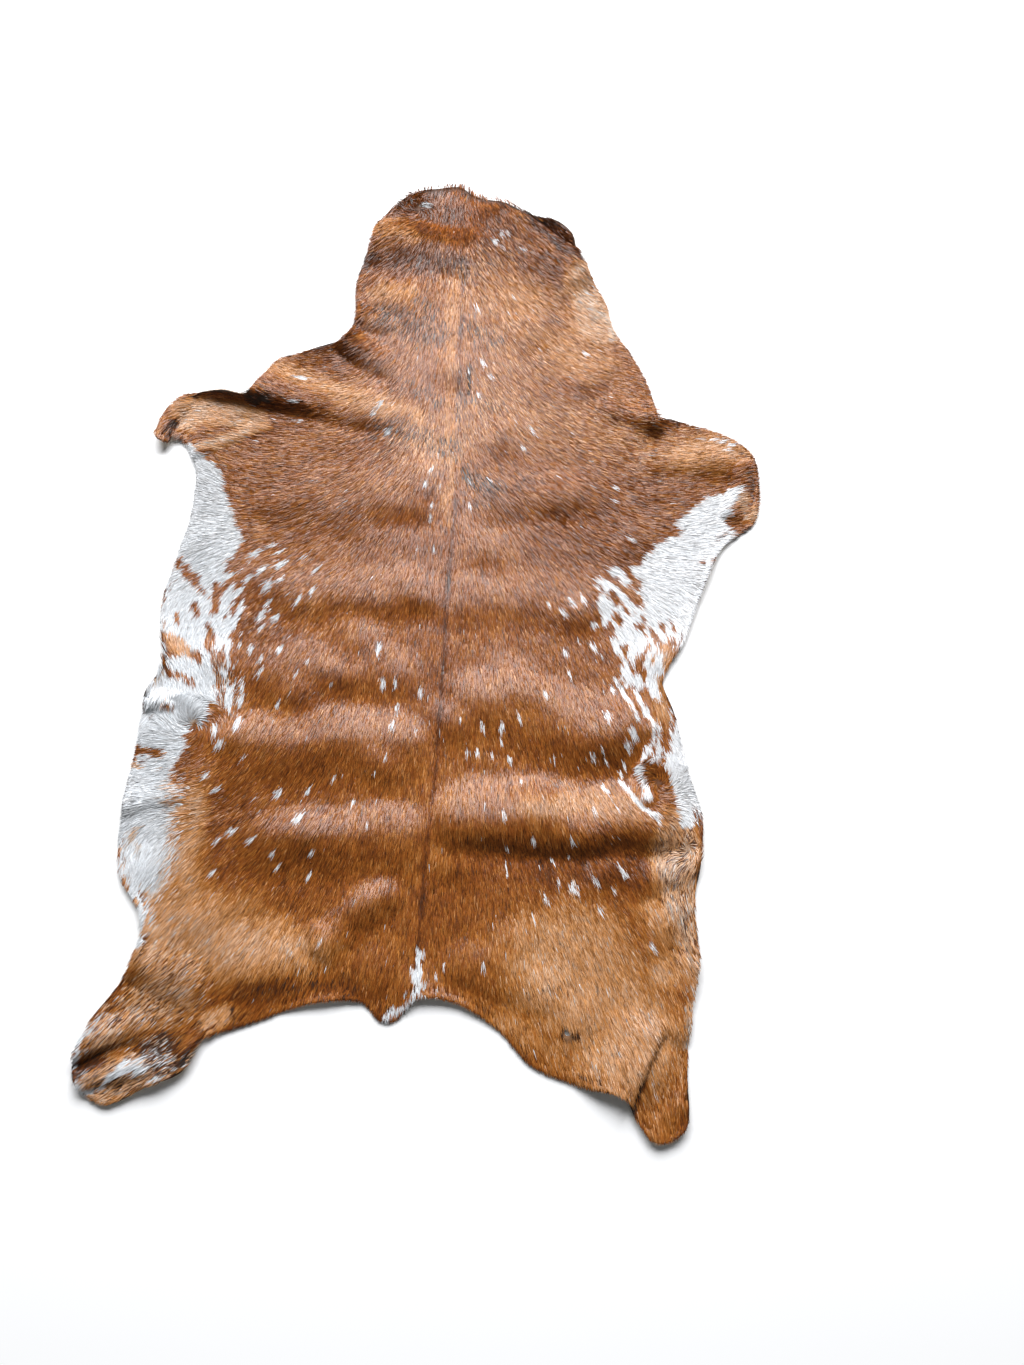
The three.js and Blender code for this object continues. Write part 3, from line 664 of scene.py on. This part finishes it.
def pigment_of(x, y, chance):
    """How dark the brown hair is, from 0 to 1: the strokes of shade over the common brown, mottled at
    60 mm and 12 mm, darker beside the back line, with the mixed hair set in where chance falls to it,
    and the creases' painted shade over all."""
    wave_x = x + 6 * noise(x, y, 34, 11) + 3 * noise(x, y, 8, 15)
    wave_y = y + 6 * noise(x, y, 34, 12) + 3 * noise(x, y, 8, 16)
    pigment = np.full_like(x, COMMON_PIGMENT)
    for shade in by_column(SHADE_COLUMNS, grouped(SHADES)):
        cover = stroke_cover(shade, wave_x, wave_y)
        pigment = pigment * (1 - cover) + shade["pigment"] * cover
    pigment += 0.035 * noise(x, y, 60, 13) + 0.03 * noise(x, y, 12, 14)
    pigment += 0.14 * np.exp(-((back_line_gap(x, y) / 2.5) ** 2))
    for k, mixed in enumerate(by_column(MIXED_COLUMNS, grouped(MIXED))):
        turn_of = (chance + 0.37 * k) % 1
        cover = stroke_cover(mixed, wave_x, wave_y)
        pigment = np.where(turn_of < cover * mixed["share"], mixed["pigment"], pigment)
    # Painted shade: each crease, slit and the hole's rim darkens the hair over it.
    for line, radius in CREASES.values():
        cover = stroke_cover({"line": line, "radius": radius, "soft": CREASE_SOFT}, x, y)
        pigment = pigment * (1 - cover) + CREASE_SHADOW_PIGMENT * cover
    return pigment


def hair_roots(lattice, rng):
    """Where the hairs are rooted: a square lattice shaken by most of its own step, kept where it lies
    on the skin and off the hole and the scar."""
    skin = EDGE_POINTS
    low, high = skin.min(0), skin.max(0)
    after = np.roll(skin, -1, 0)
    area = abs((skin[:, 0] * after[:, 1] - skin[:, 1] * after[:, 0]).sum()) / 2
    step = math.sqrt(area / HAIRS)
    x, y = np.meshgrid(np.arange(low[0], high[0], step), np.arange(low[1], high[1], step))
    x, y = x.ravel(), y.ravel()
    x = x + rng.uniform(-SHAKE, SHAKE, x.shape) * step
    y = y + rng.uniform(-SHAKE, SHAKE, y.shape) * step
    on_skin = lattice.read(lattice.depth, x, y) > ROOT_INSET
    for bare in (BALD, SCAR):
        on_skin &= stroke_cover(bare, x, y) < 0.5
    return x[on_skin], y[on_skin]


def hair_blades(lattice):
    """Every lock of hair as a kite of two triangles: a root, two points where it bends, and a tip.
    It leaves the leather along the comb, rises to the coat's depth and levels out, and it is rolled
    about its own length at random, as round hairs turn their sides every way. The neck's coat is
    shaggier: it stands higher and rolls further. Along the cut some locks lie the other way, as a
    ragged fringe."""
    rng = np.random.default_rng(SEED)
    x, y = hair_roots(lattice, rng)
    count = len(x)
    lock = rng.random(count)
    way = hair_way(x, y)
    turn = np.radians(rng.normal(0, SPREAD["turn"], count))
    way = np.stack([
        way[:, 0] * np.cos(turn) - way[:, 1] * np.sin(turn),
        way[:, 0] * np.sin(turn) + way[:, 1] * np.cos(turn),
    ], -1)
    fringe = (lattice.read(lattice.depth, x, y) < FRINGE["reach"]) & (lock > FRINGE["above"])
    way[fringe] *= -1
    length = HAIR_LENGTH * (1 + SPREAD["length"] * rng.standard_normal(count).clip(-2, 2))
    length *= 1 + 0.12 * noise(x, y, 70, 21)
    past = -lattice.read(lattice.depth, x + way[:, 0] * length, y + way[:, 1] * length)
    at_poll = y > POLL_TUFT["past"]
    allowed = OVERHANG[0] + (OVERHANG[1] - OVERHANG[0]) * lock + POLL_TUFT["reach"] * lock**3 * at_poll
    length = np.maximum(length - np.maximum(past - allowed, 0), SHORTEST)
    width = HAIR_WIDTH * (0.75 + 0.5 * rng.random(count))
    shag = smooth((y - SHAG["start"]) / SHAG["over"])
    depth = COAT_DEPTH * (0.55 + 0.6 * rng.random(count)) * (1 + SHAG["deeper"] * shag)

    root = lattice.read(lattice.place, x, y)
    facing = lattice.read(lattice.facing, x, y)
    facing /= np.linalg.norm(facing, axis=1, keepdims=True)
    root += facing * LEATHER
    ahead = lattice.read(lattice.across, x, y) * way[:, :1] + lattice.read(lattice.along, x, y) * way[:, 1:]
    ahead /= np.linalg.norm(ahead, axis=1, keepdims=True)
    side = np.cross(ahead, facing)
    roll = (rng.normal(0, SPREAD["roll"], count).clip(-1, 1) * (1 + SHAG["rolled"] * shag))[:, None]
    broad = side * np.cos(roll) + facing * np.sin(roll)

    length, width, depth = length[:, None], width[:, None], depth[:, None]
    droop = np.minimum(np.maximum(past, 0)[:, None] * DROOP["share"], DROOP["most"])
    middle = root + ahead * length * BEND["along"] + facing * depth * BEND["high"]
    tip = root + ahead * length + facing * depth * BEND["tip"] - np.array([0, 0, 1]) * droop
    root = root + facing * ROOT_LIFT
    points = np.stack([root, middle - broad * width / 2, tip, middle + broad * width / 2], 1)
    points[..., 2] = np.maximum(points[..., 2], OFF_FLOOR)
    return {"x": x, "y": y, "way": way, "points": points, "chance": rng.random(count), "rng": rng}


def hair_colour(lattice, blades):
    """Each lock's place on the coat's colour chart: across it the pigment, up it how light the hair is,
    which grows from root to tip, a painted shade of the coat's depth, varies between locks and along
    the comb, and falls at the cut edge, where the hair is also darker, both painted shade there, and
    in the white of the left elbow, painted shade too, and the roan patch. Slopes that face the tail get
    a deeper pigment, painted shade for slopes turned from the light. The kite is a little wide on the
    chart, so that it has an area there."""
    x, y, way, rng = blades["x"], blades["y"], blades["way"], blades["rng"]
    count = len(x)
    white = whiteness(x, y, way, blades["chance"])
    pigment = pigment_of(x, y, rng.random(count)) + rng.normal(0, 0.045, count)
    pigment += 0.05 * combed_noise(x, y, way, 3, 32)
    # Painted shade: the pigment deepens on slopes that face the tail, away from the window.
    pigment += 0.12 * np.clip(-lattice.read(lattice.facing, x, y)[:, 1], -0.15, 0.4)
    # Painted shade: hair near the cut is darker and duller, for the shade along the cut edge.
    rim = smooth(1 - lattice.read(lattice.depth, x, y) / EDGE_SHADE["reach"])
    pigment += EDGE_SHADE["darker"] * rim
    odd = rng.random(count)
    pigment = np.where(odd < 0.05, pigment + 0.16, np.where(odd > 0.94, pigment - 0.14, pigment))
    pigment = np.where(odd > 0.9985, 0.04, np.clip(pigment, 0.05, 0.97))
    pigment = np.where(white, rng.uniform(0.004, 0.03, count) + 0.025 * (x < 0), pigment)
    # Painted shade: white hair at the left elbow is dimmed, as if turned from the light.
    dim = DIM_WHITE["elbow"] * smooth((y - DIM_WHITE["start"]) / DIM_WHITE["over"]) * (x < 0)
    dim += DIM_WHITE["roan"] * stroke_cover(ROAN, x, y)
    uneven = 0.14 * rng.standard_normal(count).clip(-2, 2) + 0.17 * combed_noise(x, y, way, 1.7, 31)
    light = np.where(white, 0.74 - dim + 0.85 * uneven, 0.5 + uneven) - EDGE_SHADE["duller"] * rim
    # Painted shade: a lock's root sits darker on the chart than its tip, for the shade deep in the coat.
    ends = np.array([[0, -0.2], [-0.004, 0.0], [0, 0.15], [0.004, 0.0]])
    chart = np.stack([pigment, light], 1)[:, None] + ends[None]
    return np.clip(chart, 0.004, 0.996)


def mesh_object(name, points, faces, uv=None):
    """A mesh object at the origin from arrays, in metres. faces is a list of equal-sided face arrays."""
    mesh = bpy.data.meshes.new(name)
    sizes = np.concatenate([np.full(len(part), part.shape[1]) for part in faces])
    corners = np.concatenate([part.ravel() for part in faces]).astype(np.int32)
    mesh.vertices.add(len(points))
    mesh.vertices.foreach_set("co", (points * MM).astype(np.float32).ravel())
    mesh.loops.add(len(corners))
    mesh.loops.foreach_set("vertex_index", corners)
    mesh.polygons.add(len(sizes))
    mesh.polygons.foreach_set("loop_start", np.concatenate([[0], np.cumsum(sizes)[:-1]]).astype(np.int32))
    if uv is not None:
        layer = mesh.uv_layers.new(name="OFBake")
        layer.data.foreach_set("uv", uv.astype(np.float32).ravel())
    mesh.update(calc_edges=True)
    piece = bpy.data.objects.new(name, mesh)
    bpy.context.scene.collection.objects.link(piece)
    return piece


def skin_sheet(lattice):
    """The leather as a closed sheet. Lattice cells whose middle is on the skin are kept, and the
    points on their border move to the nearest point of the cut. The underside is the drape, the hair
    side lies one thickness off it along its facing, and a wall runs round each cut."""
    x, y = lattice.x.copy(), lattice.y.copy()
    hole_gap = np.hypot(x - HOLE["x"], y - HOLE["y"])
    depth = lattice.depth
    middle = (depth[:-1, :-1] + depth[1:, :-1] + depth[1:, 1:] + depth[:-1, 1:]) / 4
    middle_hole = np.hypot(x[:-1, :-1] + GRID / 2 - HOLE["x"], y[:-1, :-1] + GRID / 2 - HOLE["y"])
    kept = (middle > 0) & (middle_hole > HOLE["radius"])
    padded = np.pad(kept, 1)
    around = np.stack([padded[:-1, :-1], padded[1:, :-1], padded[1:, 1:], padded[:-1, 1:]])
    border = around.any(0) & ~around.all(0)
    at_hole = border & (hole_gap < HOLE["radius"] + 2 * GRID)
    at_edge = border & ~at_hole
    x[at_edge], y[at_edge] = lattice.edge_x[at_edge], lattice.edge_y[at_edge]
    pull = HOLE["radius"] / hole_gap[at_hole]
    x[at_hole] = HOLE["x"] + (x[at_hole] - HOLE["x"]) * pull
    y[at_hole] = HOLE["y"] + (y[at_hole] - HOLE["y"]) * pull

    used = around.any(0)
    index = np.full(x.shape, -1)
    index[used] = np.arange(used.sum())
    u, v = x[used], y[used]
    under = lattice.read(lattice.place, u, v)
    facing = lattice.read(lattice.facing, u, v)
    facing /= np.linalg.norm(facing, axis=1, keepdims=True)
    points = np.vstack([under, under + facing * LEATHER])
    count = len(under)

    a, b = index[:-1, :-1], index[1:, :-1]
    c, d = index[1:, 1:], index[:-1, 1:]
    flesh_side = np.stack([d, c, b, a], -1)[kept]
    hair_side = np.stack([a, b, c, d], -1)[kept] + count
    beside = (padded[1:-1, :-2], padded[2:, 1:-1], padded[1:-1, 2:], padded[:-2, 1:-1])
    open_sides = [kept & ~cell for cell in beside]
    runs = np.vstack([
        np.stack([p[is_open], q[is_open]], 1)
        for is_open, p, q in zip(open_sides, (a, b, c, d), (b, c, d, a))
    ])
    cut = np.stack([runs[:, 0], runs[:, 1], runs[:, 1] + count, runs[:, 0] + count], 1)
    faces = np.vstack([hair_side, flesh_side, cut])

    corners = faces.ravel() % count
    low, high = EDGE_POINTS.min(0), EDGE_POINTS.max(0)
    flat = (np.stack([u, v], 1) - low) / (high - low)[1] * SHEET_CHART["long"]
    chart = flat[corners].reshape(-1, 4, 2)
    first_cut = 2 * len(hair_side)
    chart[: len(hair_side)] += SHEET_CHART["hair"]
    chart[len(hair_side) : first_cut] += SHEET_CHART["flesh"]
    round_run = np.linspace(0, 0.96, len(cut))[:, None] + np.array([0, 0.0006, 0.0006, 0])
    up_the_wall = np.broadcast_to(np.repeat(SHEET_CHART["wall"], 2), round_run.shape)
    chart[first_cut:] = np.stack([0.01 + round_run, up_the_wall], -1)

    skin = mesh_object("goatskin_leather", points, [faces], chart)
    finish = np.repeat([0, 1, 2], [len(hair_side), len(flesh_side), len(cut)]).astype(np.int32)
    skin.data.polygons.foreach_set("material_index", finish)
    skin.data.polygons.foreach_set("use_smooth", finish < 2)
    tone = skin.data.attributes.new("tone", "FLOAT", "POINT")
    white = whiteness(u, v, hair_way(u, v), np.full(len(u), 0.5))
    shade = np.where(white, 0.1, pigment_of(u, v, np.ones(len(u))))
    # Painted shade: the leather's hair side is darkest along the cut.
    shade = np.where(depth[used] < GRID / 2, 1, shade)
    tone.data.foreach_set("value", np.tile(shade, 2).astype(np.float32))
    area = len(hair_side) * GRID**2 * MM**2
    return skin, area


def linear(colour):
    """An sRGB hex colour as linear red, green, blue and alpha."""
    channels = [int(colour[i : i + 2], 16) / 255 for i in (1, 3, 5)]
    return [c / 12.92 if c <= 0.04045 else ((c + 0.055) / 1.055) ** 2.4 for c in channels] + [1]


def add_node(material, kind, links=None, stops=(), **settings):
    """Adds a node. settings name its attributes or its input sockets, links are input socket: output,
    and stops are the rows of a ramp, each its place from 0 to 1 and its sRGB colour."""
    tree = material.node_tree
    new = tree.nodes.new(kind)
    for name, value in settings.items():
        if hasattr(new, name):
            setattr(new, name, value)
        else:
            new.inputs[name.replace("_", " ")].default_value = value
    for name, output in (links or {}).items():
        tree.links.new(output, new.inputs[name])
    for k, (place, colour) in enumerate(stops):
        element = new.color_ramp.elements[k] if k < 2 else new.color_ramp.elements.new(place)
        element.position = place
        element.color = linear(colour)
    return new


def new_material(name):
    """A material with no nodes yet."""
    material = bpy.data.materials.new(name)
    material.use_nodes = True
    material.node_tree.nodes.clear()
    return material


# A goat's coat by its pigment: white hair, then cream, tan, golden, ginger, chestnut and black.
COAT_CHART = [
    (0.0, "#F4F5F6"), (0.05, "#D9DEE2"), (0.1, "#D8CABC"), (0.16, "#E6C3A2"), (0.24, "#E4B084"),
    (0.34, "#D6985C"), (0.46, "#B87430"), (0.56, "#9B561D"), (0.68, "#6F3A14"), (0.8, "#4E2E18"),
    (0.9, "#4A3E36"), (1.0, "#35302E"),
]
HAIR_SHADE = [(0.0, "#4A4340"), (0.5, "#DAD6D3"), (1.0, "#FFFFFF")]


def goat_hair():
    """Tanned goat hair: smooth keratin, waxed by the tanner's last brushing. The colour comes from the
    chart's pigment and is shaded from root to tip, and the gloss gives each lock its own glint."""
    material = new_material("goat_hair")
    chart = add_node(material, "ShaderNodeUVMap", uv_map="OFBake")
    place = add_node(material, "ShaderNodeSeparateXYZ", {"Vector": chart.outputs["UV"]})
    pigment = add_node(material, "ShaderNodeValToRGB", {"Fac": place.outputs["X"]}, COAT_CHART)
    shade = add_node(material, "ShaderNodeValToRGB", {"Fac": place.outputs["Y"]}, HAIR_SHADE)
    colour = add_node(
        material, "ShaderNodeMix", {"A": pigment.outputs["Color"], "B": shade.outputs["Color"]},
        data_type="RGBA", blend_type="MULTIPLY", Factor=1,
    )
    surface = add_node(
        material, "ShaderNodeBsdfPrincipled", {"Base Color": colour.outputs["Result"]},
        Roughness=0.28, IOR=1.55, Specular_IOR_Level=0.29,
    )
    add_node(material, "ShaderNodeOutputMaterial", {"Surface": surface.outputs["BSDF"]})
    return material


def grain_leather():
    """The grain side under the coat: vegetable-tanned, dull and pitted by hair roots every 0.8 mm."""
    material = new_material("goat_grain_leather")
    tone = add_node(material, "ShaderNodeAttribute", attribute_name="tone")
    colour = add_node(material, "ShaderNodeValToRGB", {"Fac": tone.outputs["Fac"]}, [
        (0.0, "#B9AFA6"), (0.12, "#A98F78"), (0.3, "#8A6038"), (0.55, "#5A3418"), (1.0, "#2A1F18"),
    ])
    where = add_node(material, "ShaderNodeTexCoord").outputs["Object"]
    pits = add_node(material, "ShaderNodeTexVoronoi", {"Vector": where}, Scale=1 / (0.8 * MM))
    bump = add_node(
        material, "ShaderNodeBump", {"Height": pits.outputs["Distance"]}, Strength=0.6, Distance=0.0004,
    )
    surface = add_node(
        material, "ShaderNodeBsdfPrincipled",
        {"Base Color": colour.outputs["Color"], "Normal": bump.outputs["Normal"]}, Roughness=0.75,
    )
    add_node(material, "ShaderNodeOutputMaterial", {"Surface": surface.outputs["BSDF"]})
    return material


def suede_flesh():
    """The flesh side, shaved and buffed to a cream suede: a soft nap, faint veins and darker drag marks."""
    material = new_material("goat_suede_flesh")
    where = add_node(material, "ShaderNodeTexCoord").outputs["Object"]
    cloud = add_node(material, "ShaderNodeTexNoise", {"Vector": where}, Scale=1 / (55 * MM), Detail=5.0)
    nap = add_node(material, "ShaderNodeTexNoise", {"Vector": where}, Scale=1 / (1.2 * MM), Detail=3.0)
    vein = add_node(
        material, "ShaderNodeTexNoise", {"Vector": where}, Scale=1 / (160 * MM), Detail=1.0, Distortion=0.5,
    )
    base = add_node(material, "ShaderNodeValToRGB", {"Fac": cloud.outputs["Fac"]}, [
        (0.3, "#BFAE98"), (0.5, "#CDBFAB"), (0.7, "#D9CFC0"),
    ])
    line = add_node(material, "ShaderNodeValToRGB", {"Fac": vein.outputs["Fac"]}, [
        (0.493, "#FFFFFF"), (0.5, "#ECE4DB"), (0.507, "#FFFFFF"),
    ])
    speck = add_node(material, "ShaderNodeValToRGB", {"Fac": nap.outputs["Fac"]}, [
        (0.35, "#D9D2CA"), (0.65, "#FFFFFF"),
    ])
    colour = base.outputs["Color"]
    for layer in (line, speck):
        mixed = add_node(
            material, "ShaderNodeMix", {"A": colour, "B": layer.outputs["Color"]},
            data_type="RGBA", blend_type="MULTIPLY", Factor=1,
        )
        colour = mixed.outputs["Result"]
    bump = add_node(
        material, "ShaderNodeBump", {"Height": nap.outputs["Fac"]}, Strength=0.5, Distance=0.0005,
    )
    surface = add_node(
        material, "ShaderNodeBsdfPrincipled",
        {"Base Color": colour, "Normal": bump.outputs["Normal"]},
        Roughness=0.92, Sheen_Weight=0.3, Sheen_Roughness=0.6,
    )
    add_node(material, "ShaderNodeOutputMaterial", {"Surface": surface.outputs["BSDF"]})
    return material


def cut_leather():
    """The knife-cut edge: raw leather, fibrous and darkened by drying."""
    material = new_material("goat_cut_edge")
    where = add_node(material, "ShaderNodeTexCoord").outputs["Object"]
    fibre = add_node(material, "ShaderNodeTexNoise", {"Vector": where}, Scale=1 / (2.5 * MM), Detail=4.0)
    colour = add_node(material, "ShaderNodeValToRGB", {"Fac": fibre.outputs["Fac"]}, [
        (0.35, "#5E4A3A"), (0.5, "#8B7663"), (0.68, "#B8A893"),
    ])
    bump = add_node(
        material, "ShaderNodeBump", {"Height": fibre.outputs["Fac"]}, Strength=0.8, Distance=0.0006,
    )
    surface = add_node(
        material, "ShaderNodeBsdfPrincipled",
        {"Base Color": colour.outputs["Color"], "Normal": bump.outputs["Normal"]}, Roughness=0.85,
    )
    add_node(material, "ShaderNodeOutputMaterial", {"Surface": surface.outputs["BSDF"]})
    return material


# The coat's pieces, each a band across the skin from its upper limit down to the next one's.
COAT_BANDS = {
    "neck_coat": math.inf, "shoulder_coat": 246, "waist_coat": 86, "loin_coat": -84, "thigh_coat": -240,
}


def coat_pieces(lattice):
    """The coat, split into bands across the skin by where each lock is rooted."""
    blades = hair_blades(lattice)
    chart = hair_colour(lattice, blades)
    hair = goat_hair()
    limits = [*COAT_BANDS.values(), -math.inf]
    pieces = []
    for name, top, bottom in zip(COAT_BANDS, limits, limits[1:]):
        here = (blades["y"] <= top) & (blades["y"] > bottom)
        points = blades["points"][here].reshape(-1, 3)
        first = np.arange(here.sum())[:, None] * 4
        faces = np.stack([first + [0, 1, 3], first + [1, 2, 3]], 1).reshape(-1, 3)
        uv = chart[here][:, [[0, 1, 3], [1, 2, 3]]].reshape(-1, 2)
        piece = mesh_object(name, points, [faces], uv)
        piece.data.materials.append(hair)
        pieces.append(piece)
    return pieces


def pale_floor():
    """A wide floor just under the skin, nearly white."""
    material = new_material("pale_floor")
    surface = add_node(material, "ShaderNodeBsdfPrincipled", Base_Color=linear("#FCFCFB"), Roughness=0.9)
    add_node(material, "ShaderNodeOutputMaterial", {"Surface": surface.outputs["BSDF"]})
    half, low = 4000.0, -0.3
    corners = np.array([(-half, -half, low), (half, -half, low), (half, half, low), (-half, half, low)])
    floor = mesh_object("floor", corners, [np.array([[0, 1, 2, 3]])])
    floor.data.materials.append(material)


def area_light(name, place, aim, size, power, colour):
    """A square-cornered light at a place in metres, turned so that it faces its aim."""
    data = bpy.data.lights.new(name, "AREA")
    data.shape, data.size, data.size_y = "RECTANGLE", size[0], size[1]
    data.energy = power
    data.color = linear(colour)[:3]
    light = bpy.data.objects.new(name, data)
    way = np.array(place) - np.array(aim)
    light.location = place
    light.rotation_euler = (math.atan2(math.hypot(way[0], way[1]), way[2]), 0, math.atan2(way[0], -way[1]))
    bpy.context.scene.collection.objects.link(light)


def light_and_camera():
    """A wide window past the neck, whose light glints on every slope that faces it, in a room of soft
    pale light. The camera is at standing height over the hind legs, 75 degrees up."""
    area_light("window", (0.05, 2.1, 1.75), (0, 0, 0), (3.2, 1.7), 228, "#F4F5F8")
    world = bpy.data.worlds.new("soft_room")
    world.use_nodes = True
    background = world.node_tree.nodes["Background"]
    background.inputs["Color"].default_value = linear("#F4F6F6")
    background.inputs["Strength"].default_value = 0.12
    bpy.context.scene.world = world
    bpy.context.scene.view_settings.view_transform = "Standard"

    data = bpy.data.cameras.new("camera")
    data.sensor_fit = "VERTICAL"
    data.sensor_height = 36
    data.lens = 30
    camera = bpy.data.objects.new("camera", data)
    elevation, distance, aim = math.radians(75), 1.151, (0.076, -0.029)
    camera.location = (aim[0], aim[1] - distance * math.cos(elevation), distance * math.sin(elevation))
    camera.rotation_euler = (math.pi / 2 - elevation, 0, 0)
    bpy.context.scene.collection.objects.link(camera)
    bpy.context.scene.camera = camera


def main():
    light_and_camera()
    pale_floor()
    lattice = Lattice()
    skin, area = skin_sheet(lattice)
    for finish in (grain_leather(), suede_flesh(), cut_leather()):
        skin.data.materials.append(finish)
    coat = coat_pieces(lattice)
    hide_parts("goatskin")
    for piece in (skin, *coat):
        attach(piece, "root")


main()
